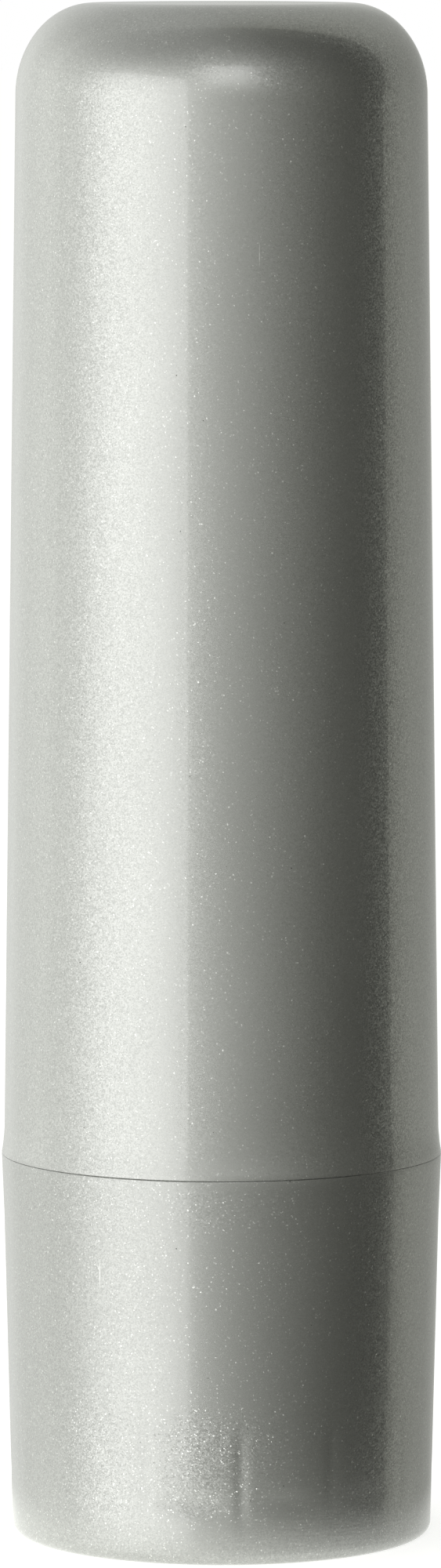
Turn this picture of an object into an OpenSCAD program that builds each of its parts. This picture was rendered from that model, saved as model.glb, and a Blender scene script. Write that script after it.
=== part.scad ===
// Twist-up lip balm stick: a long capped cylinder on a short turning base.
// Millimetres. The origin is the middle of the base's underside and +Z is up.
// The stick is drawn closed and retracted, as it stands on a shelf.
//
// How it works: the spindle turns with the base. Its screw drives the carrier,
// whose two keys run in the tube's grooves, so the balm rises without turning.
// Lengths along the axis are heights above the underside unless they say otherwise.

/* [Overall form] */
// Height of the closed stick
total_h = 67; // [55:0.5:80]
// Height of the joint line between base and cap
seam_z = 16.8; // [12:0.1:25]
// Outer radius at the joint line
seam_r = 9.64; // [8:0.01:12]
// How much narrower the base is at its underside, on the radius
base_draft = 0.44; // [0:0.01:1.2]
// How much narrower the cap is where its shoulder starts, on the radius
cap_draft = 0.69; // [0:0.01:1.5]

/* [Cap] */
// Height of the rounded shoulder
shoulder_h = 4; // [1:0.1:8]
// Width of the rounded shoulder, measured along the radius
shoulder_w = 3.35; // [1:0.05:6]
// Height of the slightly flared band at the cap's rim
rim_band_h = 1.1; // [0.3:0.1:4]
// How far the flared band stands out from the cap's straight side
rim_flare = 0.12; // [0:0.01:0.4]
// Wall thickness at the rim
cap_wall = 1.08; // [0.7:0.01:2]
// Thickness of the roof
roof_t = 1.2; // [0.8:0.05:2.5]
// Height of the snap bead inside the cap, above the rim
cap_bead_up = 1.2; // [0.8:0.1:4]
// Number of grip ribs inside the cap
cap_ribs = 6; // [3:1:12]
// Thickness of a grip rib
cap_rib_t = 0.6; // [0.4:0.05:1.2]

/* [Turning base] */
// Height of the slightly flared band at the base's rim
base_band_h = 2.8; // [0.5:0.1:6]
// How far that band stands out from the base's straight side
base_flare = 0.036; // [0:0.004:0.2]
// Radius of the rounded bottom edge
foot_round = 0.5; // [0.2:0.05:1.5]
// Height of the recess in the underside
recess_h = 2.6; // [1:0.1:3.8]
// Width of the ring foot round that recess
foot_ring = 1.5; // [1:0.1:3]
// Thickness of the base's wall
base_wall = 1.2; // [0.8:0.05:1.6]
// Thickness of the floor plate
floor_t = 1.2; // [0.8:0.1:2]
// Number of ribs, the same above and below the floor
base_ribs = 14; // [4:1:16]
// Thickness of a rib
base_rib_t = 0.7; // [0.4:0.05:1.2]
// Turn of the rib set, so that one rib stands near the front
rib_turn = 5.2; // [0:0.1:45]
// Outer radius of the boss that holds the spindle
boss_r = 3.3; // [2.8:0.1:4.5]

/* [Inner tube] */
// Wall thickness of the tube
tube_wall = 1.2; // [0.9:0.05:1.6]
// How far the tube's mouth stands below the top of the cap
mouth_down = 11; // [8:0.5:20]
// How far the tube's lower end stands above the base's floor
tube_up = 1.6; // [1:0.1:3]
// How far the collar stands out from the tube
collar_step = 0.74; // [0.4:0.02:1.2]
// How far the collar's lower face, which bears on the base's ribs, is below the joint line
collar_down = 1.2; // [0.5:0.1:3]
// Height of the collar above the joint line
collar_up = 3.8; // [2:0.1:8]
// How far the snap bead stands out of the collar
bead_out = 0.08; // [0.04:0.01:0.3]
// Width of a key groove
groove_w = 1.3; // [0.8:0.05:2.5]
// Depth of a key groove
groove_d = 0.5; // [0.3:0.05:0.8]

/* [Screw] */
// Rise for each full turn
lead = 5; // [3:0.5:8]
// Crest radius of the screw
crest_r = 2.15; // [1.6:0.05:3]
// Root radius of the screw
root_r = 1.55; // [1:0.05:2.5]
// Radius of the plug pressed in the base
plug_r = 2.4; // [1.8:0.05:3]
// Distance left between the cup's rim and the mouth when the carrier is right up
mouth_spare = 1.9; // [1:0.1:6]

/* [Carrier and balm] */
// Height of the carrier's cup
cup_h = 5.4; // [3:0.1:8]
// Wall thickness of the cup
cup_wall = 0.7; // [0.5:0.05:1.2]
// Length of the nut below the cup's floor
nut_down = 3.8; // [2:0.1:6]
// Number of gripping fins in the cup
fins = 6; // [2:1:8]
// Height of the balm above the tube's mouth
tip_up = 4.8; // [2:0.1:7]
// Height of the balm's rounded edge
tip_round_h = 4.2; // [1:0.1:6]

/* [Fits] */
// Running clearance of turning and sliding faces, on the radius
run_gap = 0.06; // [0.01:0.01:0.1]
// Clearance of the poured balm from the walls it was cast against
cast_gap = 0.06; // [0.03:0.01:0.1]
// Clearance of the cap's bore round the collar, on the radius
cap_fit = 0.22; // [0.12:0.02:0.4]
// Clearance of the plug in its boss
plug_gap = 0.02; // [0.01:0.01:0.05]
// Clearance of the nut's lugs in the screw thread
thread_gap = 0.2; // [0.1:0.01:0.3]
// Free height between parts that must not rub
free_gap = 0.4; // [0.2:0.05:1]

/* [Hidden] */
$fn = 96;

// Edge break of a moulded rim, which draws the hairline joint
edge = 0.06;
// Heights inside the base
floor_z = recess_h + floor_t;
tube_z = floor_z + tube_up;
gusset_top = tube_z - free_gap;
snap_z = seam_z - 6.6;
snap_h = 1.1;
boss_top = floor_z + 2.4;
flange_top = boss_top + 0.8;
// Radii from the outside in: cap bore, collar, tube, bore of the tube
cap_bore_r = seam_r - cap_wall;
collar_r = cap_bore_r - cap_fit;
tube_r = collar_r - collar_step;
bore_r = tube_r - tube_wall;
foot_r = seam_r - base_draft;
cap_top_r = seam_r - cap_draft;
recess_r = foot_r - foot_ring;
// Inner radius of the base's wall at its floor and at its rim
base_in_low = foot_r - base_wall;
base_in_top = collar_r + run_gap;
// Collar, mouth and roof
collar_z = seam_z - collar_down;
collar_top = seam_z + collar_up;
mouth_z = total_h - mouth_down;
roof_z = total_h - roof_t;
roof_round_w = 2.6;
roof_round_h = 2.8;
cap_in_top = cap_top_r - 1.05;
shoulder_z = total_h - shoulder_h;
rib_in_r = tube_r + 2 * run_gap;
rib_root_r = cap_bore_r + 0.14;
// Carrier heights, at the bottom of its travel
nut_z = flange_top + free_gap;
cup_z = nut_z + nut_down;
cup_floor_t = 0.9;
cup_top = cup_z + cup_h;
nut_r = 3.2;
fin_t = 0.6;
// Width of the slots that part the nut into four springy fingers
finger_slot = 0.7;
nut_bore_r = crest_r + thread_gap;
cup_r = bore_r - run_gap - 0.04;
key_r = bore_r + groove_d - run_gap;
key_w = groove_w - 2 * run_gap;
travel = mouth_z - mouth_spare - cup_top;
groove_top = cup_top + travel + free_gap;
// Screw heights
screw_z = flange_top;
lug_z = nut_z + 0.6;
lug_h = lead / 5;
screw_top = lug_z + lug_h + travel + 0.6;
screw_tip = screw_top + 0.8;
steps_per_turn = 18;
// Balm
balm_r = bore_r - cast_gap - 0.02;
balm_bore_r = crest_r + 0.25;
tip_z = mouth_z + tip_up;
tip_flat_r = 1.1;

// Points of a quarter ellipse, from angle a to angle b
function arc(r, z, w, h, a, b, n = 10) =
    [for (i = [0:n]) let (t = a + (b - a) * i / n) [r + w * cos(t), z + h * sin(t)]];

// Repeats its child evenly round the axis
module around(count, turn = 0) {
    for (i = [0:count - 1])
        rotate([0, 0, turn + i * 360 / count])
            children();
}

// A flat fin along +X from radius a to b and from height z to top
module fin(a, b, z, top, t) {
    translate([a, -t / 2, z])
        cube([b - a, t, top - z]);
}

// A plain ring
module ring(outer, inner, z, h) {
    translate([0, 0, z])
        difference() {
            cylinder(h = h, r = outer);
            translate([0, 0, -1])
                cylinder(h = h + 2, r = inner);
        }
}

// Outline of the base: straight draft, flared rim band, rounded bottom edge
function base_outline() = concat(
    [[0, 0]],
    arc(foot_r - foot_round, foot_round, foot_round, foot_round, -90, 0, 6),
    [[seam_r - (seam_r - foot_r) * base_band_h / seam_z - base_flare, seam_z - base_band_h],
     [seam_r, seam_z - edge],
     [seam_r - edge, seam_z],
     [0, seam_z]]);

// The cup-shaped turning base with its bearing ribs, snap ring and spindle boss
module base_shell() {
    color([0.66, 0.67, 0.65])
        difference() {
            union() {
                difference() {
                    rotate_extrude()
                        polygon(base_outline());
                    rotate_extrude()
                        polygon([[0, floor_z], [base_in_low, floor_z],
                                 [base_in_top, collar_z - 0.1], [base_in_top, seam_z + 1],
                                 [0, seam_z + 1]]);
                    rotate_extrude()
                        polygon([[0, -1], [recess_r, -1], [recess_r, 0],
                                 [recess_r - 0.15, recess_h], [0, recess_h]]);
                }
                base_inner_ribs();
                base_under_ribs();
                cylinder_between(boss_r, recess_h - 0.5, boss_top);
            }
            cylinder_between(plug_r + plug_gap, -1, boss_top + 1);
        }
}

// A solid cylinder between two heights
module cylinder_between(r, low, high) {
    translate([0, 0, low])
        cylinder(h = high - low, r = r);
}

// Ribs that bear the tube inside the base, with the ring that its bead snaps under
module base_inner_ribs() {
    inner = tube_r + run_gap;
    around(base_ribs, rib_turn - 90) {
        fin(inner, base_in_low + 0.6, floor_z - 0.5, snap_z - 0.8, base_rib_t);
        fin(inner, base_in_top + 0.3, snap_z + snap_h - 0.1, collar_z, base_rib_t);
        fin(boss_r - 0.3, base_in_low + 0.6, floor_z - 0.5, gusset_top, base_rib_t);
    }
    ring(base_in_top + 0.3, inner, snap_z + 0.3, snap_h);
}

// Ribs and boss end in the recess of the underside
module base_under_ribs() {
    low = 0.8;
    around(base_ribs, rib_turn - 90)
        fin(boss_r - 0.3, recess_r + 0.5, low, recess_h + 0.3, base_rib_t);
    cylinder_between(boss_r, low, recess_h + 0.3);
}

// Section of the two-start screw: two crests with sloping flanks on a round core
module screw_section() {
    crest = 18;
    foot = 48;
    polygon([for (side = [0, 180])
        for (p = [[-crest, crest_r], [0, crest_r], [crest, crest_r], [foot, root_r],
                  [foot + 28, root_r], [foot + 56, root_r], [180 - foot, root_r]])
            [p[1] * cos(side + p[0]), p[1] * sin(side + p[0])]]);
}

// The coarse screw with its flange and the plug that is pressed in the base
module spindle() {
    length = screw_top - screw_z;
    color([0.93, 0.92, 0.88]) {
        translate([0, 0, screw_z - 0.1])
            linear_extrude(height = length + 0.1, twist = -360 * (length + 0.1) / lead,
                           slices = ceil(length / lead * steps_per_turn), $fn = 12)
                rotate(-36 / lead)
                    screw_section();
        translate([0, 0, screw_top - 0.05])
            cylinder(h = screw_tip - screw_top, r1 = root_r - 0.02, r2 = root_r - 0.5);
        cylinder_between(boss_r - 0.3, boss_top, flange_top);
        cylinder_between(plug_r, recess_h - 1.4, boss_top + 0.1);
        translate([0, 0, recess_h - 1.8])
            cylinder(h = 0.4, r1 = plug_r - 0.4, r2 = plug_r);
    }
}

// Outline of the inner tube's wall, bore left out
function tube_outline() = [
    [bore_r, tube_z],
    [tube_r - 0.3, tube_z],
    [tube_r, tube_z + 0.3],
    [tube_r, snap_z - 0.6],
    [tube_r + 0.32, snap_z - 0.35],
    [tube_r + 0.32, snap_z + 0.2],
    [tube_r, snap_z + 0.25],
    [tube_r, collar_z],
    [collar_r, collar_z],
    [collar_r, collar_top - 1.5],
    [collar_r + bead_out, collar_top - 1.25],
    [collar_r + bead_out, collar_top - 0.95],
    [collar_r, collar_top - 0.7],
    [collar_r, collar_top - 0.3],
    [collar_r - 0.3, collar_top],
    [tube_r, collar_top + 0.05],
    [tube_r - 0.12, mouth_z - 0.45]];

// The inner tube: bearing sleeve, snap bead, collar for the cap, two key grooves
module body_tube() {
    lip = 0.45;
    lip_r = tube_r - 0.12 - lip;
    color([0.90, 0.90, 0.88])
        difference() {
            rotate_extrude()
                polygon(concat(
                    tube_outline(),
                    arc(lip_r, mouth_z - lip, lip, lip, 15, 90, 5),
                    [[bore_r + 0.25, mouth_z], [bore_r, mouth_z - 0.25]]));
            around(2)
                fin(bore_r - 1, bore_r + groove_d, tube_z - 1, groove_top, groove_w);
        }
}

// One inward lug of the nut, following the screw's groove
module nut_lug() {
    inner = root_r + thread_gap;
    outer = nut_bore_r + 0.25;
    linear_extrude(height = lug_h, twist = -360 * lug_h / lead,
                   slices = ceil(lug_h / lead * steps_per_turn), $fn = 12)
        polygon([for (p = [[-32, inner], [0, inner], [32, inner], [54, outer],
                           [0, outer + 0.2], [-54, outer]])
            [p[1] * cos(p[0]), p[1] * sin(p[0])]]);
}

// The elevator cup: nut, floor, wall, gripping fins and the two keys
module carrier() {
    color([0.93, 0.93, 0.90]) {
        difference() {
            union() {
                difference() {
                    carrier_blank();
                    cylinder_between(nut_bore_r, nut_z - 1, cup_top + 1);
                }
                around(2, 90 + 360 * (lug_z - screw_z) / lead)
                    translate([0, 0, lug_z])
                        nut_lug();
            }
            around(4, 45)
                fin(root_r, nut_r + 0.5, nut_z - 1, cup_z - 0.6, finger_slot);
        }
    }
}

// The carrier before its nut is bored: hub, floor, wall, fins and keys
module carrier_blank() {
    cylinder_between(nut_r, nut_z, cup_top);
    cylinder_between(cup_r, cup_z, cup_z + cup_floor_t);
    ring(cup_r, cup_r - cup_wall, cup_z, cup_h);
    around(fins, 30)
        fin(nut_r - 0.3, cup_r - 0.3, cup_z + 0.5, cup_top - 0.8, fin_t);
    around(2)
        fin(cup_r - 0.4, key_r, cup_z, cup_top, key_w);
}

// The balm, poured round the spindle and over the carrier's fins
module balm() {
    shelf = cup_z + cup_floor_t + cast_gap;
    neck_r = cup_r - cup_wall - cast_gap;
    color([0.97, 0.94, 0.84])
        difference() {
            rotate_extrude()
                polygon(concat(
                    [[0, shelf], [neck_r, shelf], [neck_r, cup_top + cast_gap],
                     [balm_r, cup_top + cast_gap]],
                    arc(tip_flat_r, tip_z - tip_round_h, balm_r - tip_flat_r, tip_round_h, 0, 90, 14),
                    [[0, tip_z]]));
            cylinder_between(balm_bore_r, shelf - 1, screw_tip + free_gap);
            cylinder_between(nut_r + cast_gap, shelf - 1, cup_top + cast_gap);
            around(fins, 30)
                fin(nut_r, cup_r, shelf - 1, cup_top - 0.8 + cast_gap, fin_t + 2 * cast_gap);
        }
}

// Outline of the cap: flared rim, long draft, elliptic shoulder, flat roof
function cap_outline() = concat(
    [[0, seam_z],
     [seam_r - edge, seam_z],
     [seam_r, seam_z + edge],
     [seam_r - rim_flare, seam_z + rim_band_h]],
    arc(cap_top_r - shoulder_w, shoulder_z, shoulder_w, shoulder_h, 0, 90, 16),
    [[0, total_h]]);

// Outline of the cap's hollow, with the snap bead standing in from its wall
function cap_hollow() = concat(
    [[0, seam_z - 1],
     [cap_bore_r + 0.2, seam_z - 1],
     [cap_bore_r + 0.2, seam_z],
     [cap_bore_r, seam_z + 0.3],
     [cap_bore_r, seam_z + cap_bead_up - 0.3],
     [collar_r + bead_out + 0.04, seam_z + cap_bead_up - 0.1],
     [collar_r + bead_out + 0.04, seam_z + cap_bead_up + 0.1],
     [cap_bore_r, seam_z + cap_bead_up + 0.3],
     [cap_bore_r, collar_top + 0.5]],
    arc(cap_in_top - roof_round_w, roof_z - roof_round_h, roof_round_w, roof_round_h, 0, 90, 8),
    [[0, roof_z]]);

// The cap: a thin drafted shell with a snap bead and grip ribs
module cap() {
    color([0.70, 0.71, 0.69]) {
        difference() {
            rotate_extrude()
                polygon(cap_outline());
            rotate_extrude()
                polygon(cap_hollow());
        }
        around(cap_ribs, 30)
            fin(rib_in_r, rib_root_r, collar_top + 4, shoulder_z - 0.6, cap_rib_t);
    }
}

base_shell();
spindle();
body_tube();
carrier();
balm();
cap();
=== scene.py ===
"""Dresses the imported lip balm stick: flake plastic shells, satin tube, cast balm, studio.

Lengths in the dataclasses are millimetres, as in the part's source, and every mesh is
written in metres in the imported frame: origin under the stick, +Z up, the photo's side at -Y.
"""
import logging
import math
from dataclasses import dataclass, field
from enum import Enum
from typing import Callable, Sequence

import bmesh
import bpy
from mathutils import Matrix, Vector


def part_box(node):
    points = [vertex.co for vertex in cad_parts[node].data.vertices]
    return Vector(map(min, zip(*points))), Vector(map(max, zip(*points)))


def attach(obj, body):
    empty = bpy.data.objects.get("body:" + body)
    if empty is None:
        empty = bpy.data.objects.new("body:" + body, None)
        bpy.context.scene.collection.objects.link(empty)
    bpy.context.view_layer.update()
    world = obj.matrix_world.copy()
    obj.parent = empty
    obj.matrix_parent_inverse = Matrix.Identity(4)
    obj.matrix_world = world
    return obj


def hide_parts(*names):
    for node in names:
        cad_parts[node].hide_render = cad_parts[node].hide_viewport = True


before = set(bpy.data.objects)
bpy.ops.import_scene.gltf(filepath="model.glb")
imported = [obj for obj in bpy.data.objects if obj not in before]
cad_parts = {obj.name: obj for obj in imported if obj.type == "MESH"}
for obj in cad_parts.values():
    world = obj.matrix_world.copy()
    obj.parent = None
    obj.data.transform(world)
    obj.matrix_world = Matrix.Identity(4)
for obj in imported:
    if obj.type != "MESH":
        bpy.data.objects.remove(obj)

MM = 0.001
# Radius at which patterns round the axis are drawn at their real size
WALL_R = 9.3
# Edges that turn by more degrees than this stay sharp
SHARP = 40.0
# Soft noise mostly keeps to this span
NOISE_SPAN = (0.3, 0.7)
Point = tuple[float, float]
Triple = tuple[float, float, float]
Colour = tuple[float, float, float, float]
Socket = bpy.types.NodeSocket
Tree = bpy.types.NodeTree
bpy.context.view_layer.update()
log = logging.getLogger("lip_balm_stick")


class Body(Enum):
    """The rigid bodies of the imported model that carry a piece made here."""

    BASE = "base"
    ELEVATOR = "elevator"
    CAP = "cap_body"


# Colour and node helpers


def srgb(hex_code: str) -> Colour:
    """Turn an sRGB hex colour into Blender's linear colour.

    Args:
        hex_code: six digits, such as "c8cac4".

    Returns:
        Linear red, green, blue and an alpha of 1.
    """
    def linear(value: float) -> float:
        """Undo the sRGB curve of one channel."""
        return value / 12.92 if value <= 0.04045 else ((value + 0.055) / 1.055) ** 2.4

    red, green, blue = (linear(int(hex_code[i:i + 2], 16) / 255) for i in (0, 2, 4))
    return red, green, blue, 1.0


def add_node(tree: Tree, kind: str, inputs: dict | None = None, **settings) -> bpy.types.Node:
    """Add one shader node.

    Args:
        tree: the node tree to add to.
        kind: Blender's node type name.
        inputs: input socket to its constant, or to the output socket that feeds it.
        **settings: node properties, such as an operation.

    Returns:
        The new node.
    """
    node = tree.nodes.new(kind)
    for name, value in settings.items():
        setattr(node, name, value)
    for name, value in (inputs or {}).items():
        if isinstance(value, Socket):
            tree.links.new(value, node.inputs[name])
        else:
            node.inputs[name].default_value = value
    return node


def maths(tree: Tree, operation: str, *terms: Socket | float) -> Socket:
    """Combine sockets and numbers by one operation.

    Args:
        tree: the node tree.
        operation: the maths node's operation.
        *terms: its inputs in order.

    Returns:
        The socket of the result.
    """
    node = add_node(tree, "ShaderNodeMath", dict(enumerate(terms)), operation=operation)
    return node.outputs[0]


def vectors(tree: Tree, operation: str, *terms: Socket | Triple) -> Socket:
    """Combine vectors by one operation.

    Args:
        tree: the node tree.
        operation: the vector maths node's operation.
        *terms: its inputs in order.

    Returns:
        The socket of the result, a number for a dot product or a length.
    """
    node = add_node(tree, "ShaderNodeVectorMath", dict(enumerate(terms)), operation=operation)
    return node.outputs["Value" if operation in ("DOT_PRODUCT", "LENGTH") else "Vector"]


def remap(tree: Tree, value: Socket, source: Point, target: Point = (0.0, 1.0),
          smooth: bool = False) -> Socket:
    """Run from one level to another while a value crosses a span.

    Args:
        tree: the node tree.
        value: socket of the value.
        source: the span's start and end.
        target: the level at the start and at the end, kept outside the span.
        smooth: whether both ends are eased.

    Returns:
        The socket of the level.
    """
    node = add_node(tree, "ShaderNodeMapRange",
                    {"Value": value, "From Min": source[0], "From Max": source[1],
                     "To Min": target[0], "To Max": target[1]},
                    interpolation_type="SMOOTHSTEP" if smooth else "LINEAR")
    return node.outputs["Result"]


def blend(tree: Tree, share: Socket, first: Socket | Colour | float,
          second: Socket | Colour | float, kind: str = "RGBA") -> Socket:
    """Mix two colours, or two levels.

    Args:
        tree: the node tree.
        share: socket of the second one's share.
        first: the one at share 0.
        second: the one at share 1.
        kind: "RGBA" for colours or "FLOAT" for levels.

    Returns:
        The socket of the mix.
    """
    node = add_node(tree, "ShaderNodeMix", {"Factor": share, "A": first, "B": second},
                    data_type=kind)
    return node.outputs["Result"]


def cloud(tree: Tree, place: Socket, scale: float, detail: float,
          roughness: float = 0.5) -> Socket:
    """Give soft noise between 0 and 1.

    Args:
        tree: the node tree.
        place: position in millimetres.
        scale: clouds to the millimetre.
        detail: how many finer layers lie over the first.
        roughness: how strong these are.

    Returns:
        The socket of the noise.
    """
    node = add_node(tree, "ShaderNodeTexNoise",
                    {"Vector": place, "Scale": scale, "Detail": detail,
                     "Roughness": roughness})
    return node.outputs["Fac"]


def relief(tree: Tree, height: Socket, strength: float, depth: float,
           normal: Socket | None = None) -> Socket:
    """Give the normal of a surface with fine relief.

    Args:
        tree: the node tree.
        height: socket of the relief, 0 to 1.
        strength: how much of it shows.
        depth: its depth in millimetres.
        normal: the normal that it starts from, or none for the surface's own.

    Returns:
        The socket of the normal.
    """
    inputs = {"Height": height, "Strength": strength, "Distance": depth * MM}
    if normal:
        inputs["Normal"] = normal
    return add_node(tree, "ShaderNodeBump", inputs).outputs["Normal"]


def empty_tree(owner: bpy.types.ID) -> Tree:
    """Give a material, a world or a lamp an empty node tree.

    Args:
        owner: what the nodes are for.

    Returns:
        The tree.
    """
    owner.use_nodes = True
    owner.node_tree.nodes.clear()
    return owner.node_tree


def new_material(name: str) -> tuple[bpy.types.Material, Tree, Socket]:
    """Make an empty node material.

    Args:
        name: the material's name.

    Returns:
        The material, its node tree, and the piece's own coordinates in millimetres, so that
        pattern scales are real sizes.
    """
    material = bpy.data.materials.new(name)
    tree = empty_tree(material)
    coords = add_node(tree, "ShaderNodeTexCoord")
    return material, tree, vectors(tree, "MULTIPLY", coords.outputs["Object"], (1 / MM,) * 3)


def set_surface(tree: Tree, inputs: dict) -> None:
    """Give a material its shader.

    Args:
        tree: the node tree.
        inputs: the shader's sockets and constants.
    """
    shader = add_node(tree, "ShaderNodeBsdfPrincipled", inputs)
    add_node(tree, "ShaderNodeOutputMaterial", {"Surface": shader.outputs[0]})


# Finishes


@dataclass(frozen=True)
class FlakePlastic:
    """Polypropylene moulded with aluminium flake: a soft metal glow under a glossy skin.

    The flake lies almost along the wall, so the colour glows where it faces a lamp and goes
    dark away from it. The moulded skin over it gives a second, sharper reflection.
    """

    name: str
    # Grey runs from flake to flake between the first two, and a few stand out bright
    colour: str = "bfc0bd"
    dark_flake: str = "a4a5a2"
    glint: str = "dfe0dd"
    dust: str = "4c4d47"
    # Real flake is 0.02 to 0.05 mm. It is drawn at 0.05 mm, or the render shows none of it.
    flake: float = 0.05
    # Most flakes lie nearly flat and a few stand up and glint: lean of the flat ones, added
    # lean of the steepest, and how rare these are
    tilt: float = 0.18
    steep_tilt: float = 0.16
    rarity: float = 60.0
    # Where the melt swirled over a floor or under a rim, flakes stand up, and more of them
    # glint bright as painted sparkle: how many times more of them do, and how much further all
    # lean
    swirl: float = 0.0
    # Middle and half height of each swirled zone, and its share of the swirl
    swirl_zones: tuple[Triple, ...] = ((4.3, 3.2, 1.0), (15.6, 1.2, 0.4))
    # Part of the half height with the full swirl
    swirl_core: float = 0.4
    # The zones' middle in degrees from the front, how far from it the swirl stays full and
    # where it has sunk, and its share there. Keeping the swirl to this front-left side, where
    # the key lamp's highlight edge falls, is painted sparkle: its bright glint flakes stand
    # there.
    painted_sparkle_side: Triple = (-15.0, 12.0, 38.0)
    painted_sparkle_rest: float = 0.15
    metallic: float = 0.95
    roughness: float = 0.41
    skin_roughness: float = 0.065
    skin_ior: float = 1.6
    # Flow of the melt: its width, that width over its length up the wall, and how far the
    # roughness changes with it, either way
    flow: float = 5.0
    flow_shape: float = 0.35
    flow_change: float = 0.025
    # Unevenness of the skin: waves to the millimetre, strength and depth
    skin_waves: Triple = (0.7, 0.25, 0.02)
    # Handling marks: width of the patch that holds one dust speck and the largest one's
    # radius, width of the patch that holds one upright scratch and the largest one's half
    # width and half length, and the turn of the scratches' patches in radians
    speck_patch: float = 4.5
    speck: float = 0.03
    scratch_patch: float = 7.0
    scratch: Point = (0.02, 0.8)
    scratch_turn: float = 0.35
    # Fine rubbing round the axis: strength, depth, and lines to the millimetre round the
    # wall and up it
    rubbing: float = 0.0
    rubbing_depth: float = 0.01
    rubbing_lines: Point = (0.9, 9.0)

    def marks(self, tree: Tree, wall: Socket, patch: float, size: Point,
              turn: float) -> Socket:
        """Strew one kind of handling mark over the unrolled wall.

        Args:
            tree: the node tree.
            wall: place on the unrolled wall in millimetres.
            patch: width of the patch that holds one mark.
            size: the largest mark's half width and half length.
            turn: turn of the patches in radians, which keeps marks out of rows.

        Returns:
            The socket of the marks, 1 inside them.
        """
        drawn = add_node(tree, "ShaderNodeMapping",
                         {"Vector": wall, "Scale": (1.0, size[0] / size[1], 1.0),
                          "Rotation": (0.0, 0.0, turn)})
        cells = add_node(tree, "ShaderNodeTexVoronoi",
                         {"Vector": drawn.outputs[0], "Scale": 1 / patch},
                         voronoi_dimensions="2D", feature="F1")
        chance = add_node(tree, "ShaderNodeSeparateColor", {"Color": cells.outputs["Color"]})
        reach = maths(tree, "MULTIPLY", chance.outputs["Red"], size[0] / patch)
        return maths(tree, "LESS_THAN", cells.outputs["Distance"], reach)

    def stir(self, tree: Tree, place: Socket, height: Socket) -> Socket:
        """Give how many times more the flakes lean and glint bright, by height and side; the
        side share is painted sparkle, kept where the key lamp's highlight edge falls.

        Args:
            tree: the node tree.
            place: position in millimetres.
            height: its height.

        Returns:
            The socket of the factor, 1 outside the swirled zones.
        """
        # Painted sparkle: the swirl's bright glint flakes are kept to the front-left, where
        # the key lamp's highlight edge falls
        turn, full, gone = (math.radians(angle) for angle in self.painted_sparkle_side)
        towards = vectors(tree, "DOT_PRODUCT", place,
                          (math.sin(turn) / WALL_R, -math.cos(turn) / WALL_R, 0.0))
        side = remap(tree, towards, (math.cos(gone), math.cos(full)), (self.painted_sparkle_rest, 1.0),
                     smooth=True)
        factor: Socket | float = 1.0
        for middle, half, share in self.swirl_zones:
            off = maths(tree, "ABSOLUTE", maths(tree, "SUBTRACT", height, middle))
            near = remap(tree, off, (half, self.swirl_core * half), (0.0, self.swirl * share),
                         smooth=True)
            factor = maths(tree, "MULTIPLY_ADD", near, side, factor)
        return factor

    def lie(self, tree: Tree, chance: Socket, steep: Socket, stir: Socket) -> Socket:
        """Lean each flake its own way out of the wall.

        Args:
            tree: the node tree.
            chance: the flake's own random vector.
            steep: how far it stands up, 0 to 1.
            stir: how many times further it leans.

        Returns:
            The socket of the flake's normal.
        """
        lean = maths(tree, "MULTIPLY_ADD", steep, self.steep_tilt, self.tilt)
        reach = maths(tree, "MULTIPLY", lean, stir)
        centred = vectors(tree, "SUBTRACT", chance, (0.5, 0.5, 0.5))
        level = vectors(tree, "MULTIPLY", centred, (1.0, 1.0, 0.0))
        facing = add_node(tree, "ShaderNodeNewGeometry").outputs["Normal"]
        leaning = vectors(tree, "ADD", facing, vectors(tree, "MULTIPLY", level, reach))
        return vectors(tree, "NORMALIZE", leaning)

    def build(self) -> bpy.types.Material:
        """Make the material."""
        material, tree, place = new_material(self.name)
        parts = add_node(tree, "ShaderNodeSeparateXYZ", {0: place}).outputs
        around = maths(tree, "ARCTAN2", parts["X"], parts["Y"])
        wall = add_node(tree, "ShaderNodeCombineXYZ",
                        {"X": maths(tree, "MULTIPLY", around, WALL_R),
                         "Y": parts["Z"]}).outputs[0]
        specks = self.marks(tree, wall, self.speck_patch, (self.speck, self.speck), 0.0)
        scratches = self.marks(tree, wall, self.scratch_patch, self.scratch,
                               self.scratch_turn)
        flakes = add_node(tree, "ShaderNodeTexVoronoi",
                          {"Vector": place, "Scale": 1 / self.flake, "Randomness": 1.0},
                          feature="F1")
        chance = flakes.outputs["Color"]
        shade = add_node(tree, "ShaderNodeSeparateColor", {"Color": chance}).outputs
        stir = self.stir(tree, place, parts["Z"])
        steep = maths(tree, "POWER", shade["Blue"],
                      maths(tree, "DIVIDE", self.rarity, stir))
        colour = blend(tree, shade["Red"], srgb(self.dark_flake), srgb(self.colour))
        colour = blend(tree, steep, colour, srgb(self.glint))
        colour = blend(tree, scratches, colour, srgb(self.glint))
        colour = blend(tree, specks, colour, srgb(self.dust))
        melt = add_node(tree, "ShaderNodeMapping",
                        {"Vector": place, "Scale": (1.0, 1.0, self.flow_shape)}).outputs[0]
        flow = cloud(tree, melt, 1 / self.flow, 4.0, 0.55)
        roughness = remap(tree, flow, NOISE_SPAN, (self.roughness - self.flow_change,
                                                   self.roughness + self.flow_change))
        waves, strength, depth = self.skin_waves
        skin = relief(tree, cloud(tree, melt, waves, 2.0), strength, depth)
        rubbed = add_node(tree, "ShaderNodeMapping",
                          {"Vector": wall, "Scale": (*self.rubbing_lines, 1.0)}).outputs[0]
        normal = relief(tree, cloud(tree, rubbed, 1.0, 3.0), self.rubbing,
                        self.rubbing_depth, self.lie(tree, chance, steep, stir))
        set_surface(tree, {
            "Base Color": colour, "Roughness": roughness, "Normal": normal,
            "Coat Normal": skin, "Metallic": self.metallic, "Coat Weight": 1.0,
            "Coat Roughness": self.skin_roughness, "Coat IOR": self.skin_ior})
        return material


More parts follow.
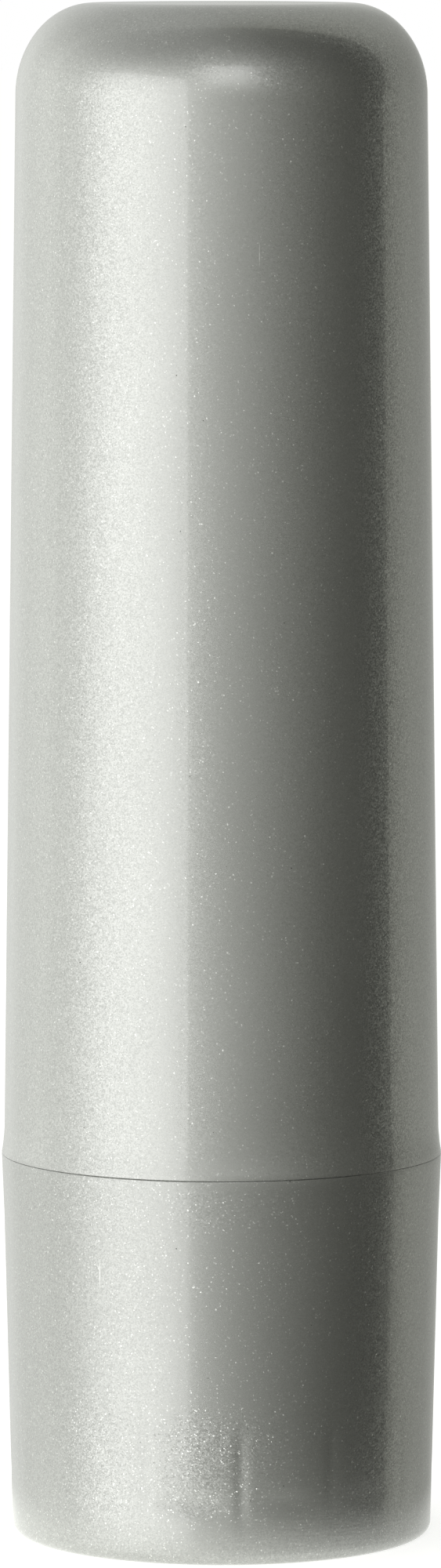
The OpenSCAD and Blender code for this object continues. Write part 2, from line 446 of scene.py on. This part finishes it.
@dataclass(frozen=True)
class SatinPlastic:
    """Polypropylene moulded in a finely textured tool: milky, with a soft broad highlight."""

    name: str
    colour: str = "e6e6e0"
    shadow: str = "dad9d0"
    roughness: float = 0.42
    ior: float = 1.49
    # Patches to the millimetre, and how far the roughness changes in them, either way
    patches: float = 0.25
    change: float = 0.05
    # Spark-eroded tool grain: width, strength and depth
    grain: Triple = (0.15, 0.6, 0.006)
    # Share of the light that sinks in, how far it gets, and each colour's part of that
    milk: float = 0.15
    milk_reach: float = 0.8
    milk_colours: Triple = (1.0, 0.9, 0.8)

    def build(self) -> bpy.types.Material:
        """Make the material."""
        material, tree, place = new_material(self.name)
        patches = cloud(tree, place, self.patches, 3.0)
        width, strength, depth = self.grain
        grain = cloud(tree, place, 1 / width, 2.0)
        roughness = remap(tree, patches, (0.0, 1.0),
                          (self.roughness - self.change, self.roughness + self.change))
        set_surface(tree, {
            "Base Color": blend(tree, patches, srgb(self.shadow), srgb(self.colour)),
            "Roughness": roughness, "Normal": relief(tree, grain, strength, depth),
            "IOR": self.ior, "Subsurface Weight": self.milk,
            "Subsurface Radius": self.milk_colours, "Subsurface Scale": self.milk_reach * MM})
        return material


@dataclass(frozen=True)
class CastBalm:
    """Wax and oil poured warm into the tube: light sinks in, and the skin is soft satin."""

    name: str
    colour: str = "f2e6c4"
    pale: str = "f8f1dc"
    # Roughness between the crystals and on them
    roughness: Point = (0.30, 0.48)
    ior: float = 1.44
    # Patches of colour to the millimetre
    patches: float = 0.35
    # Crystal bloom of the cooling wax: width, strength and depth
    bloom: Triple = (0.4, 0.5, 0.02)
    # Share of the light that sinks in, how far it gets, and each colour's part of that
    wax: float = 0.6
    wax_reach: float = 1.6
    wax_colours: Triple = (1.0, 0.75, 0.45)

    def build(self) -> bpy.types.Material:
        """Make the material."""
        material, tree, place = new_material(self.name)
        patches = cloud(tree, place, self.patches, 5.0, 0.6)
        width, strength, depth = self.bloom
        bloom = cloud(tree, place, 1 / width, 4.0, 0.6)
        set_surface(tree, {
            "Base Color": blend(tree, patches, srgb(self.colour), srgb(self.pale)),
            "Roughness": remap(tree, bloom, (0.0, 1.0), self.roughness),
            "Normal": relief(tree, bloom, strength, depth),
            "IOR": self.ior, "Subsurface Weight": self.wax,
            "Subsurface Radius": self.wax_colours, "Subsurface Scale": self.wax_reach * MM})
        return material


# Mesh helpers


def arc(centre: Point, half: Point, start: float, end: float, steps: int) -> list[Point]:
    """Give points of an ellipse arc in the plane of radius and height.

    Args:
        centre: radius and height of the centre, in millimetres.
        half: half width along the radius and half height.
        start: first angle in degrees, 0 pointing outwards.
        end: last angle in degrees.
        steps: number of segments.

    Returns:
        The points, both ends included.
    """
    angles = [math.radians(start + (end - start) * i / steps) for i in range(steps + 1)]
    return [(centre[0] + half[0] * math.cos(a), centre[1] + half[1] * math.sin(a))
            for a in angles]


def divide(points: Sequence[Point], step: float) -> list[Point]:
    """Split the long stretches of an outline so that no segment is longer than a step.

    Args:
        points: the outline.
        step: longest segment, in millimetres.

    Returns:
        The finer outline.
    """
    fine = [points[0]]
    for before, after in zip(points, points[1:]):
        count = max(1, math.ceil(math.dist(before, after) / step))
        fine += [(before[0] + (after[0] - before[0]) * i / count,
                  before[1] + (after[1] - before[1]) * i / count) for i in range(1, count + 1)]
    return fine


def revolve(mesh: bmesh.types.BMesh, outline: Sequence[Point], closed: bool, sides: int = 288,
            shift: Callable[[float, float, float], float] | None = None) -> None:
    """Turn an outline round the Z axis.

    Args:
        mesh: the mesh that takes the faces.
        outline: radius and height of each point, in millimetres.
        closed: whether the last point joins the first, as in a ring with a hole.
        sides: number of steps round the axis.
        shift: extra radius in millimetres for an angle, a radius and a height.
    """
    rings = []
    for radius, height in outline:
        if radius < 1e-6:
            rings.append([mesh.verts.new((0.0, 0.0, height * MM))])
            continue
        ring = []
        for i in range(sides):
            angle = 2 * math.pi * i / sides
            reach = radius + (shift(angle, radius, height) if shift else 0.0)
            ring.append(mesh.verts.new((reach * math.cos(angle) * MM,
                                        reach * math.sin(angle) * MM, height * MM)))
        rings.append(ring)
    pairs = list(zip(rings, rings[1:])) + ([(rings[-1], rings[0])] if closed else [])
    for low, high in pairs:
        for i in range(sides):
            j = (i + 1) % sides
            if len(low) == 1:
                mesh.faces.new((low[0], high[j], high[i]))
            elif len(high) == 1:
                mesh.faces.new((low[i], low[j], high[0]))
            else:
                mesh.faces.new((low[i], low[j], high[j], high[i]))


def rib(mesh: bmesh.types.BMesh, angle: float, reach: Point, span: Point, width: float,
        soft: float = 0.08) -> None:
    """Add one radial rib with rounded edges.

    Args:
        mesh: the mesh that takes the faces.
        angle: direction of the rib in degrees.
        reach: inner and outer radius in millimetres.
        span: lower and upper height in millimetres.
        width: thickness in millimetres.
        soft: radius of the rounded edges in millimetres.
    """
    made = bmesh.ops.create_cube(mesh, size=1.0)["verts"]
    turn = math.radians(angle)
    for vert in made:
        along = (reach[0] + reach[1]) / 2 + vert.co.x * (reach[1] - reach[0])
        across = vert.co.y * width
        height = (span[0] + span[1]) / 2 + vert.co.z * (span[1] - span[0])
        vert.co = Vector((along * math.cos(turn) - across * math.sin(turn),
                          along * math.sin(turn) + across * math.cos(turn), height)) * MM
    edges = {edge for vert in made for edge in vert.link_edges}
    bmesh.ops.bevel(mesh, geom=list(edges), offset=soft * MM, segments=3, affect="EDGES",
                    profile=0.5)


def finish_piece(name: str, mesh: bmesh.types.BMesh, material: bpy.types.Material,
                 body: Body, replaced: Sequence[str]) -> bpy.types.Object:
    """Turn a mesh into a dressed piece of the stick.

    Args:
        name: the piece's name.
        mesh: its faces, freed here.
        material: its finish.
        body: the body that it rides on.
        replaced: the CAD nodes that it stands for.

    Returns:
        The new object.
    """
    bmesh.ops.recalc_face_normals(mesh, faces=mesh.faces)
    data = bpy.data.meshes.new(name)
    mesh.to_mesh(data)
    mesh.free()
    data.shade_smooth()
    data.set_sharp_from_angle(angle=math.radians(SHARP))
    data.materials.append(material)
    piece = bpy.data.objects.new(name, data)
    bpy.context.scene.collection.objects.link(piece)
    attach(piece, body.value)
    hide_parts(*replaced)
    log.info("%s: %d faces, rides on %s", name, len(data.polygons), body.value)
    return piece


# Sub-assemblies


@dataclass
class CapShell:
    """The tall cap: a thin drafted shell with a rounded shoulder and grip ribs inside."""

    finish: FlakePlastic
    low: float = field(init=False)
    high: float = field(init=False)
    rim_r: float = field(init=False)
    top_r: float = 8.95
    shoulder: Point = (3.35, 4.0)
    # Height of the flared band over the rim, how far it flares, and how its curve bends
    rim_band: float = 1.1
    rim_flare: float = 0.12
    flare_bend: float = 0.7
    edge: float = 0.05
    # Radii of the rings in the flat roof
    roof_rings: tuple[float, ...] = (4.8, 3.6, 2.4, 1.2, 0.0)
    # Walls at the rim, at the shoulder and in the roof, and the hollow's rounded corner
    wall: float = 1.08
    shoulder_wall: float = 1.05
    roof: float = 1.2
    hollow_corner: Point = (2.6, 2.8)
    # Snap bead: how far it stands in, and its height over the rim
    bead: float = 0.09
    bead_level: float = 1.2
    # Width and height of the rounded lead-in under the bead
    lead_in: Point = (0.2, 0.3)
    ribs: int = 6
    rib_turn: float = 30.0
    rib_r: float = 7.72
    # How deep the ribs sink in the wall, their height over the rim and under the shoulder
    rib_sunk: float = 0.14
    rib_start: float = 7.8
    rib_end: float = 0.6
    rib_width: float = 0.6

    def __post_init__(self) -> None:
        """Read the cap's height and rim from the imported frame."""
        low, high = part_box("cap")
        self.low, self.high, self.rim_r = low[2] / MM, high[2] / MM, high[0] / MM

    def outer(self) -> list[Point]:
        """Give the outline from the rim's underside up to the middle of the roof."""
        rim = arc((self.rim_r - self.edge, self.low + self.edge), (self.edge, self.edge),
                  -90, 0, 5)
        flare = [(self.rim_r - self.rim_flare * t ** self.flare_bend,
                  self.low + self.edge + (self.rim_band - self.edge) * t)
                 for t in (0.25, 0.5, 0.75, 1.0)]
        corner = arc((self.top_r - self.shoulder[0], self.high - self.shoulder[1]),
                     self.shoulder, 0, 90, 40)
        side = divide([flare[-1], corner[0]], 1.5)
        roof = [(radius, self.high) for radius in self.roof_rings]
        return rim + flare + side[1:-1] + corner + roof

    def inner(self) -> list[Point]:
        """Give the outline of the hollow, from the middle of the roof down to the rim."""
        bore = self.rim_r - self.wall
        wide, tall = self.hollow_corner
        corner = arc((self.top_r - self.shoulder_wall - wide, self.high - self.roof - tall),
                     self.hollow_corner, 90, 0, 16)
        bead = [(bore - self.bead * share, self.low + self.bead_level + rise)
                for share, rise in ((0, 0.35), (2 / 3, 0.15), (1, 0), (2 / 3, -0.15),
                                    (0, -0.35))]
        rim = [(bore + self.lead_in[0] * out, self.low + self.lead_in[1] * up)
               for out, up in ((0, 1), (0.6, 1 / 3), (1, 0))]
        return [(0.0, self.high - self.roof)] + corner + bead + rim

    def build(self) -> bpy.types.Object:
        """Make the cap."""
        mesh = bmesh.new()
        revolve(mesh, self.inner() + self.outer(), closed=False)
        for i in range(self.ribs):
            rib(mesh, self.rib_turn + i * 360 / self.ribs,
                (self.rib_r, self.rim_r - self.wall + self.rib_sunk),
                (self.low + self.rib_start, self.high - self.shoulder[1] - self.rib_end),
                self.rib_width)
        return finish_piece("cap_shell", mesh, self.finish.build(), Body.CAP,
                            ["cap"])


@dataclass
class TurningBase:
    """The short cup that is turned, with its ring foot, ribbed recess and spindle boss."""

    finish: FlakePlastic
    high: float = field(init=False)
    rim_r: float = field(init=False)
    foot_r: float = 9.2
    foot_round: float = 0.5
    # Height of the flared band under the rim, and how far it flares
    band: float = 2.8
    flare: float = 0.036
    edge: float = 0.05
    # The hollow: its radius at the rim and at the floor, where its straight part ends, and
    # the chamfer at its mouth and round the boss
    bore: Point = (8.4, 8.0)
    bore_low: float = 15.5
    chamfer: float = 0.15
    floor_top: float = 3.8
    # The recess in the underside: radius and height, its corner, draft and rounded lip
    recess: Point = (7.7, 2.6)
    recess_corner: float = 0.2
    recess_draft: float = 0.15
    lip: float = 0.12
    # The spindle's boss: radius, top, underside and lower chamfer, and the plug in it
    boss: Point = (3.3, 6.2)
    boss_low: float = 0.8
    boss_chamfer: float = 0.1
    plug_r: float = 2.42
    ribs: int = 14
    rib_turn: float = 5.2
    rib_width: float = 0.7
    # How deep a rib sinks in what it stands on
    rib_sunk: float = 0.3
    # Reach and top of the gussets on the floor
    gusset: Point = (3.1, 7.9)
    gusset_top: float = 4.9
    # Inner face of the wall's ribs, then the outer radius and the height of the end next to
    # the snap ring, under it and over it, and the top end of the upper ones
    wall_rib_r: float = 7.66
    low_rib: Point = (8.3, 9.4)
    high_rib: Point = (8.6, 11.2)
    high_rib_top: float = 15.6
    # Shrink marks over the ribs: depth, half width, and the share of the depth on the far
    # side of the stick. They are deepest near rib 0, where the fill ends.
    sink_depth: float = 0.045
    sink_width: float = 0.28
    sink_share: float = 0.25
    # How closely the deep marks keep to rib 0
    sink_focus: int = 16
    # Lowest and highest end of the rib marks, and how softly they end
    sink_span: Triple = (2.1, 5.6, 0.3)
    # Height, half height and depth of the floor's marks, one in each panel between two ribs
    sink_floor: Triple = (2.75, 0.42, 0.075)
    # Smallest radius, and lowest and highest height, at which the outer wall can shrink
    sink_zone: Triple = (9.0, 0.6, 8.0)

    def __post_init__(self) -> None:
        """Read the base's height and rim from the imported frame."""
        _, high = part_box("base_shell")
        self.high, self.rim_r = high[2] / MM, high[0] / MM

    def sink(self, angle: float, radius: float, height: float) -> float:
        """Give the shrink marks that the ribs and the floor leave in the outer wall.

        Args:
            angle: direction round the axis in radians.
            radius: radius of the point in millimetres.
            height: its height in millimetres.

        Returns:
            A small inward shift in millimetres, 0 away from the outer wall's foot.
        """
        least_r, lowest, highest = self.sink_zone
        if radius < least_r or not lowest <= height <= highest:
            return 0.0
        pitch = 2 * math.pi / self.ribs
        turn = angle - math.radians(self.rib_turn - 90)
        off = (turn + pitch / 2) % pitch - pitch / 2
        low, high, soft = self.sink_span
        rib_share, floor_share = (
            self.sink_share
            + (1 - self.sink_share) * max(0.0, math.cos(turn + shift)) ** self.sink_focus
            for shift in (0.0, pitch / 2))
        rib_mark = rib_share * math.exp(-(off * radius / self.sink_width) ** 2)
        rib_mark /= 1 + math.exp((height - high) / soft)
        rib_mark /= 1 + math.exp((low - height) / soft)
        level, spread, depth = self.sink_floor
        floor_mark = floor_share * (1 - math.cos(2 * math.pi * off / pitch)) / 2
        floor_mark *= math.exp(-((height - level) / spread) ** 2)
        return -max(self.sink_depth * rib_mark, depth * floor_mark)

    def outline(self) -> list[Point]:
        """Give the whole section as one closed outline, from the ring foot round."""
        band_r = self.rim_r - (self.rim_r - self.foot_r) * self.band / self.high - self.flare
        foot = arc((self.foot_r - self.foot_round, self.foot_round),
                   (self.foot_round, self.foot_round), -90, 0, 10)
        side = divide([foot[-1], (band_r, self.high - self.band)], 0.25)
        band = divide([side[-1], (self.rim_r, self.high - self.edge)], 0.4)
        rim = arc((self.rim_r - self.edge, self.high - self.edge), (self.edge, self.edge),
                  0, 90, 5)
        mouth_r, floor_r = self.bore
        boss_r, boss_top = self.boss
        recess_r, recess_top = self.recess
        wall_r = recess_r - self.recess_draft
        hollow = [(mouth_r + self.chamfer, self.high), (mouth_r, self.high - self.chamfer),
                  (mouth_r, self.bore_low), (floor_r, self.floor_top),
                  (boss_r, self.floor_top), (boss_r, boss_top), (self.plug_r, boss_top)]
        boss = [(self.plug_r, self.boss_low + self.boss_chamfer),
                (self.plug_r + self.boss_chamfer, self.boss_low),
                (boss_r - self.boss_chamfer, self.boss_low),
                (boss_r, self.boss_low + self.boss_chamfer)]
        recess = [(boss_r, recess_top - self.chamfer), (boss_r + self.chamfer, recess_top),
                  (wall_r - self.recess_corner, recess_top),
                  (wall_r, recess_top - self.recess_corner),
                  (recess_r, self.lip), (recess_r + self.lip, 0.0)]
        return foot + side[1:] + band[1:] + rim[1:] + hollow + boss + recess

    def build(self) -> bpy.types.Object:
        """Make the base."""
        mesh = bmesh.new()
        revolve(mesh, self.outline(), closed=True, sides=560, shift=self.sink)
        seat = self.floor_top - self.rib_sunk
        kinds = (((self.boss[0] - self.rib_sunk, self.recess[0] + self.rib_sunk),
                  (self.boss_low, self.recess[1] + self.rib_sunk)),
                 (self.gusset, (seat, self.gusset_top)),
                 ((self.wall_rib_r, self.low_rib[0]), (seat, self.low_rib[1])),
                 ((self.wall_rib_r, self.high_rib[0]), (self.high_rib[1], self.high_rib_top)))
        for i in range(self.ribs):
            for reach, span in kinds:
                rib(mesh, self.rib_turn - 90 + i * 360 / self.ribs, reach, span,
                    self.rib_width)
        return finish_piece("base_cup", mesh, self.finish.build(), Body.BASE,
                            ["base_shell"])


@dataclass
class BalmStick:
    """The poured balm with its domed tip and the bore that the spindle left."""

    finish: CastBalm
    low: float = field(init=False)
    high: float = field(init=False)
    radius: float = field(init=False)
    # Height of the domed tip, and the radius of its flat middle
    dome: float = 4.2
    flat_r: float = 1.1
    # The part that fills the carrier's cup, and the step above it
    neck_r: float = 5.54
    neck_top: float = 16.66
    step: float = 0.1
    # The hollow round the carrier's hub, and the bore of the spindle
    hub_r: float = 3.26
    bore_r: float = 2.4
    bore_top: float = 50.0

    def __post_init__(self) -> None:
        """Read the balm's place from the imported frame."""
        low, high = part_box("balm")
        self.low, self.high, self.radius = low[2] / MM, high[2] / MM, high[0] / MM

    def build(self) -> bpy.types.Object:
        """Make the balm."""
        mesh = bmesh.new()
        dome = arc((self.flat_r, self.high - self.dome),
                   (self.radius - self.flat_r, self.dome), 0, 90, 28)
        side = divide([(self.radius, self.neck_top + self.step), dome[0]], 2.0)
        outline = [(0.0, self.bore_top), (self.bore_r, self.bore_top),
                   (self.bore_r, self.neck_top), (self.hub_r, self.neck_top),
                   (self.hub_r, self.low), (self.neck_r, self.low),
                   (self.neck_r, self.neck_top), (self.radius - self.step, self.neck_top)]
        outline += side[:-1] + dome + [(0.0, self.high)]
        revolve(mesh, outline, closed=False, sides=128)
        return finish_piece("balm_stick", mesh, self.finish.build(), Body.ELEVATOR,
                            ["balm"])


@dataclass
class InnerParts:
    """The tube, the carrier and the spindle, whose CAD meshes stay and are dressed here."""

    finishes: dict[str, SatinPlastic]

    def build(self) -> None:
        """Give each node its material."""
        for node, finish in self.finishes.items():
            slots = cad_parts[node].data.materials
            slots.clear()
            slots.append(finish.build())
            log.info("%s: dressed as %s", node, finish.name)


# Studio


@dataclass(frozen=True)
class Softbox:
    """A lamp with a diffuser, placed round the stick by direction."""

    name: str
    # Radiance of its face, where white paper in plain light is about 1
    level: float
    # Width and height in metres
    size: Point
    # Direction from the stick in degrees: 0 is towards the photo's viewpoint, 90 right
    azimuth: float
    elevation: float
    # Share of the width and height over which the face dims towards its edges, as seen from
    # the stick: left, right, low and top
    fade: tuple[float, float, float, float] = (0.0, 0.0, 0.0, 0.0)
    # Whether gloss mirrors the lamp. One that it doesn't mirror lifts the matt pieces and
    # leaves the silver shells' dark bands as they are.
    mirrored: bool = True
    # Distance from the stick, and the height that it points at, in metres
    distance: float = 0.6
    centre_height: float = 0.035

    def dim(self, lamp: bpy.types.Light) -> None:
        """Dim the face towards its edges, as a diffuser in front of one lamp does.

        Args:
            lamp: the lamp whose face dims.
        """
        tree = empty_tree(lamp)
        face = add_node(tree, "ShaderNodeNewGeometry").outputs["Parametric"]
        place = add_node(tree, "ShaderNodeSeparateXYZ", {0: face}).outputs
        left, right, low, top = self.fade
        share: Socket | float = 1.0
        for socket, start, stop in ((place["X"], 0.0, left), (place["X"], 1.0, 1.0 - right),
                                    (place["Y"], 0.0, low), (place["Y"], 1.0, 1.0 - top)):
            if start != stop:
                edge = remap(tree, socket, (start, stop), smooth=True)
                share = maths(tree, "MULTIPLY", edge, share)
        glow = add_node(tree, "ShaderNodeEmission", {"Strength": share})
        add_node(tree, "ShaderNodeOutputLight", {"Surface": glow.outputs[0]})

    def build(self) -> None:
        """Make the lamp, facing the stick."""
        lamp = bpy.data.lights.new(self.name, "AREA")
        if any(self.fade):
            self.dim(lamp)
        lamp.shape = "RECTANGLE"
        lamp.size, lamp.size_y = self.size
        lamp.energy = self.level * math.pi * lamp.size * lamp.size_y
        holder = bpy.data.objects.new(self.name, lamp)
        turn, rise = math.radians(self.azimuth), math.radians(self.elevation)
        away = Vector((math.sin(turn) * math.cos(rise), -math.cos(turn) * math.cos(rise),
                       math.sin(rise)))
        holder.location = away * self.distance + Vector((0.0, 0.0, self.centre_height))
        holder.rotation_euler = (-away).to_track_quat("-Z", "Y").to_euler()
        holder.visible_glossy = self.mirrored
        bpy.context.scene.collection.objects.link(holder)


@dataclass(frozen=True)
class Outlook:
    """Sockets of the direction in which the stick sees its surroundings."""

    # Parts of a unit vector: to the right, towards the photo's viewpoint, and up
    across: Socket
    front: Socket
    rise: Socket
    # Direction round the stick in radians, 0 towards the photo's viewpoint
    around: Socket
    # From 0 to 1 towards the zenith, and from 0 to 1 just below the horizon
    high: Socket
    low: Socket


@dataclass
class Studio:
    """A pale floor, surroundings that change round the stick, and three soft lamps."""

    # Level by direction in degrees, as for a lamp. White paper stands behind, and the room
    # in front of the paper's edges is dim, darkest at the right.
    paper: tuple[Point, ...] = (
        (-180, 0.6), (-150, 1.1), (-131, 1.17), (-113, 1.5), (-95, 1.4), (-60, 1.26),
        (60, 0.43), (112, 0.43), (140, 0.36), (165, 0.42), (180, 0.6))
    room: tuple[Point, ...] = (
        (-180, 1.2), (-94, 1.2), (-76, 1.0), (-25, 0.7), (0, 0.61), (30, 0.35), (60, 0.13),
        (90, 0.03), (180, 0.03))
    # Heights between which the surroundings change overhead, and below the horizon
    high_span: Point = (0.15, 0.85)
    low_span: Point = (-0.05, -0.13)
    # Level of the paper overhead, and how far it is the same all round there
    paper_above: float = 0.5
    paper_evenness: float = 0.8
    # What the paper gains below the horizon: at the middle, and its change to the right
    paper_below: Point = (0.05, 0.2)
    # What is left of the room's level overhead, and below the horizon at the right, with the
    # span in which the right begins
    room_above: float = 0.5
    room_below: float = 0.72
    room_right: Point = (0.0, 0.55)
    # How far behind the stick the paper's edge stands, as parts of a unit vector: at the
    # stick's own height, its change with height and with height squared
    edge_back: Triple = (0.205, 0.58, -0.81)
    edge_soft: float = 0.02
    # Linear colour of the surroundings' light, whose green is 1: a faint olive cast, whose
    # blue falls towards the dim right
    cast_red: float = 0.986
    cast_blue: tuple[Point, ...] = (
        (-180, 0.964), (-60, 0.962), (-15, 0.948), (25, 0.93), (65, 0.86), (95, 0.86),
        (120, 0.92), (180, 0.95))
    # The floor, in metres: half its width, and where it starts to fade out of the stick's
    # reflections and where it is gone
    floor_reach: float = 3.0
    floor_seen: Point = (0.010, 0.018)
    floor_colour: str = "f6f6f4"
    # Light that the floor adds for the camera alone, so that it comes out white
    floor_lift: float = 0.6
    # Level of the floor's painted light in gloss, a glow in place of the paper's real
    # lighting:
    # at the left, where the key lamp stands, and at the right, how it falls between them, the
    # direction to the right, and its colour
    painted_floor_light: Point = (2.1, 0.72)
    floor_fall: float = 2.0
    floor_right: Triple = (0.77, 0.64, 0.0)
    floor_cast: Colour = (0.986, 1.0, 0.956, 1.0)
    lamps: tuple[Softbox, ...] = (
        Softbox("key_softbox", 1.29, (0.89, 0.78), -53.5, -8.0, (0.46, 0.035, 0.0, 0.0)),
        Softbox("top_softbox", 1.8, (0.5, 0.31), 4.0, 23.7, (0.4, 0.4, 0.65, 0.12)),
        Softbox("fill_softbox", 0.85, (0.9, 0.9), 25.0, 12.0, mirrored=False))

    def level(self, tree: Tree, around: Socket, stops: Sequence[Point]) -> Socket:
        """Give a level that changes round the stick.

        Args:
            tree: the node tree.
            around: direction round the stick in radians.
            stops: direction in degrees and level.

        Returns:
            The socket of the level.
        """
        ramp = add_node(tree, "ShaderNodeValToRGB",
                        {"Fac": remap(tree, around, (-math.pi, math.pi))})
        peak = max(value for _, value in stops)
        marks = ramp.color_ramp.elements
        while len(marks) < len(stops):
            marks.new(0.5)
        for mark, (azimuth, value) in zip(marks, stops):
            mark.position = (azimuth + 180) / 360
            mark.color = (value / peak, value / peak, value / peak, 1.0)
        return maths(tree, "MULTIPLY", ramp.outputs["Color"], peak)

    def paper_light(self, tree: Tree, view: Outlook) -> Socket:
        """Give the level of the white paper behind the stick.

        Args:
            tree: the node tree.
            view: the direction.

        Returns:
            The socket of the level.
        """
        even = maths(tree, "MULTIPLY", view.high, self.paper_evenness)
        paper = blend(tree, even, self.level(tree, view.around, self.paper),
                      self.paper_above, "FLOAT")
        middle, lean = self.paper_below
        gain = maths(tree, "MULTIPLY_ADD", view.across, lean, middle)
        return maths(tree, "MULTIPLY", paper,
                     maths(tree, "MULTIPLY_ADD", view.low, gain, 1.0))

    def room_light(self, tree: Tree, view: Outlook) -> Socket:
        """Give the level of the dim room in front of the paper's edges.

        Args:
            tree: the node tree.
            view: the direction.

        Returns:
            The socket of the level.
        """
        above = remap(tree, view.high, (0.0, 1.0), (1.0, self.room_above))
        right = remap(tree, view.across, self.room_right, smooth=True)
        below = remap(tree, maths(tree, "MULTIPLY", view.low, right), (0.0, 1.0),
                      (1.0, self.room_below))
        return maths(tree, "MULTIPLY", self.level(tree, view.around, self.room),
                     maths(tree, "MULTIPLY", above, below))

    def edge(self, tree: Tree, view: Outlook) -> Socket:
        """Tell the paper from the room.

        Args:
            tree: the node tree.
            view: the direction.

        Returns:
            A socket that is 0 on the paper and 1 in the room.
        """
        back, slope, bend = self.edge_back
        up = maths(tree, "MAXIMUM", view.rise, 0.0)
        change = maths(tree, "MULTIPLY_ADD", up, bend, slope)
        reach = maths(tree, "MULTIPLY_ADD", up, change, back)
        return remap(tree, maths(tree, "ADD", reach, view.front),
                     (-self.edge_soft, self.edge_soft), smooth=True)

    def world(self) -> None:
        """White for the camera, and the surroundings for every surface of the stick."""
        world = bpy.data.worlds.new("studio")
        bpy.context.scene.world = world
        tree = empty_tree(world)
        coords = add_node(tree, "ShaderNodeTexCoord").outputs["Generated"]
        parts = add_node(tree, "ShaderNodeSeparateXYZ", {0: coords}).outputs
        front = maths(tree, "MULTIPLY", parts["Y"], -1.0)
        view = Outlook(parts["X"], front, parts["Z"],
                       maths(tree, "ARCTAN2", parts["X"], front),
                       remap(tree, parts["Z"], self.high_span, smooth=True),
                       remap(tree, parts["Z"], self.low_span, smooth=True))
        glow = blend(tree, self.edge(tree, view), self.paper_light(tree, view),
                     self.room_light(tree, view), "FLOAT")
        cast = add_node(tree, "ShaderNodeCombineXYZ",
                        {"X": self.cast_red, "Y": 1.0,
                         "Z": self.level(tree, view.around, self.cast_blue)}).outputs[0]
        camera = add_node(tree, "ShaderNodeLightPath").outputs["Is Camera Ray"]
        light = add_node(tree, "ShaderNodeBackground",
                         {"Strength": blend(tree, camera, glow, 1.0, "FLOAT"),
                          "Color": blend(tree, camera, cast, srgb("ffffff"))})
        add_node(tree, "ShaderNodeOutputWorld", {"Surface": light.outputs[0]})

    def floor(self) -> None:
        """A pale floor that takes the shadow. In gloss it shows only near the stick's foot, as
        a glow with painted light, brighter towards the key lamp.
        """
        reach = self.floor_reach
        data = bpy.data.meshes.new("floor")
        data.from_pydata([(-reach, -reach, 0), (reach, -reach, 0), (reach, reach, 0),
                          (-reach, reach, 0)], [], [(0, 1, 2, 3)])
        material = bpy.data.materials.new("matt_white_paper")
        tree = empty_tree(material)
        place = add_node(tree, "ShaderNodeTexCoord").outputs["Object"]
        path = add_node(tree, "ShaderNodeLightPath").outputs
        paper = add_node(tree, "ShaderNodeBsdfDiffuse", {"Color": srgb(self.floor_colour)})
        lift = add_node(tree, "ShaderNodeEmission",
                        {"Strength": path["Is Camera Ray"],
                         "Color": (self.floor_lift, self.floor_lift, self.floor_lift, 1.0)})
        seen = add_node(tree, "ShaderNodeAddShader", {0: paper.outputs[0], 1: lift.outputs[0]})
        near, gone = self.floor_seen
        left, right = self.painted_floor_light
        leftward = remap(tree, vectors(tree, "DOT_PRODUCT", place, self.floor_right),
                         (gone, -gone))
        level = maths(tree, "MULTIPLY_ADD", maths(tree, "POWER", leftward, self.floor_fall),
                      left - right, right)
        # Painted light: in gloss the floor is this glow, brighter towards the key lamp at the
        # left
        painted_floor_glow = add_node(tree, "ShaderNodeEmission",
                       {"Strength": level, "Color": self.floor_cast})
        clear = add_node(tree, "ShaderNodeBsdfTransparent")
        far = remap(tree, vectors(tree, "LENGTH", place), (near, gone), smooth=True)
        mirrored = add_node(tree, "ShaderNodeMixShader",
                            {0: far, 1: painted_floor_glow.outputs[0], 2: clear.outputs[0]})
        surface = add_node(tree, "ShaderNodeMixShader",
                           {0: path["Is Glossy Ray"], 1: seen.outputs[0],
                            2: mirrored.outputs[0]})
        add_node(tree, "ShaderNodeOutputMaterial", {"Surface": surface.outputs[0]})
        data.materials.append(material)
        floor = bpy.data.objects.new("floor", data)
        bpy.context.scene.collection.objects.link(floor)

    def build(self) -> None:
        """Make the world, the floor and the lamps."""
        self.world()
        self.floor()
        for lamp in self.lamps:
            lamp.build()
        log.info("studio ready, %d lamps", len(self.lamps))


@dataclass
class PhotoCamera:
    """The photo's viewpoint: a long lens just above the cap, looking slightly down."""

    # Focal length, sensor width, place and nearest point in millimetres, pitch in degrees
    lens: float = 213.1
    sensor: float = 36.0
    place: Triple = (-0.045, -403.6, 72.68)
    near: float = 10.0
    pitch: float = 5.618

    def build(self) -> None:
        """Make the camera and use it."""
        data = bpy.data.cameras.new("photo_camera")
        data.lens = self.lens
        data.sensor_width = self.sensor
        data.clip_start = self.near * MM
        camera = bpy.data.objects.new("photo_camera", data)
        camera.location = Vector(self.place) * MM
        camera.rotation_euler = (math.radians(90 - self.pitch), 0.0, 0.0)
        bpy.context.scene.collection.objects.link(camera)
        bpy.context.scene.camera = camera
        log.info("camera %.0f mm at %s", self.lens, self.place)


def main() -> None:
    """Build the studio and dress the stick, piece by piece."""
    logging.basicConfig(level=logging.INFO, format="%(name)s: %(message)s")
    bpy.context.scene.view_settings.view_transform = "Standard"
    PhotoCamera().build()
    Studio().build()
    CapShell(FlakePlastic("flake_polypropylene_cap")).build()
    TurningBase(FlakePlastic(
        "flake_polypropylene_base", colour="b7b8b5", dark_flake="9e9f9c", glint="dddedb",
        tilt=0.12, steep_tilt=0.27, rarity=45.0, swirl=1.8, skin_roughness=0.13,
        rubbing=0.5)).build()
    BalmStick(CastBalm("poured_balm")).build()
    InnerParts({
        "body_tube": SatinPlastic("satin_polypropylene_tube"),
        "carrier": SatinPlastic("natural_polypropylene_carrier", "e9e7dc", "dedbcc"),
        "spindle": SatinPlastic("natural_acetal_spindle", "eae7da", "dfdaca", 0.36),
    }).build()


if __name__ == "__main__":
    main()
